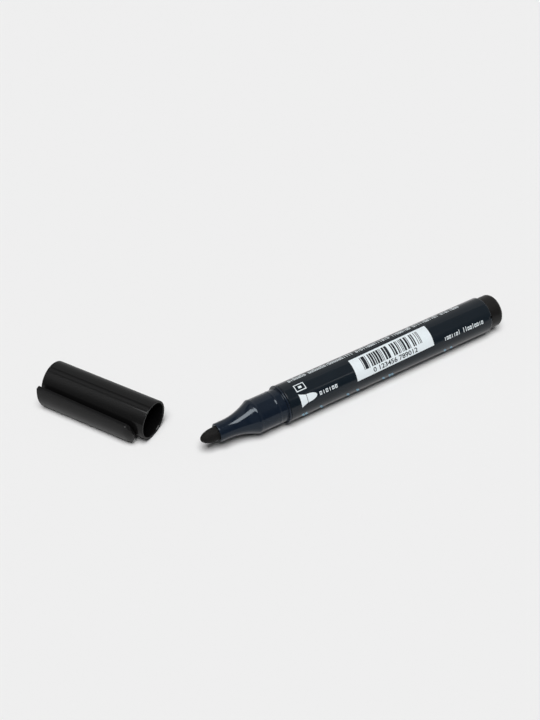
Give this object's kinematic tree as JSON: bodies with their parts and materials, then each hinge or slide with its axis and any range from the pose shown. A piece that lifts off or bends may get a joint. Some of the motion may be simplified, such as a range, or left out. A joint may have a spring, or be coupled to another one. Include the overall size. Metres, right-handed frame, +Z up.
{
  "type": "permanent marker",
  "caption": "Bullet-tip permanent marker lying with its cap off: a round barrel, flared nose with a felt nib, tail plug, and a clip cap with a sealing liner beside it.",
  "frame": {"origin": "on the table, under the middle of the bounding box of the marker and its cap", "axes": "+X along the marker from nib to tail, +Z up from the table, +Y to the side where the cap lies"},
  "size_m": [0.16, 0.0622, 0.0137],
  "materials": {
    "barrel_navy": "satin gloss, dark navy, printed",
    "nose_navy": "high gloss, navy",
    "nib_felt": "matte pressed felt, soaked with black ink",
    "ink_fibre": "matte bundled fibre, soaked with black ink",
    "clear_film": "clear film",
    "plug_black": "satin black",
    "cap_black": "satin gloss black",
    "liner_black": "satin black"
  },
  "bodies": {
    "marker": {"barrel": "barrel_navy", "front_section": "nose_navy", "nib": "nib_felt", "ink_reservoir": "ink_fibre", "reservoir_sleeve": "clear_film", "end_plug": "plug_black"},
    "cap": {"cap_shell": "cap_black", "inner_cap": "liner_black"},
    "clip": {"pocket_clip": "cap_black"}
  },
  "joints": [
    {"name": "cap_pull", "type": "slide", "parent": "marker", "child": "cap", "axis": [-0.4833, 0.8755, 0], "range_m": [0, 0.0302]},
    {"name": "clip_spring", "type": "hinge", "parent": "cap", "child": "clip", "pos_m": [-0.0769, 0.02178, 0.00539], "axis": [0.1698, 0.0937, -0.981], "range_deg": [0, 3.5], "stiffness_Nm_per_rad": 0.8}
  ]
}
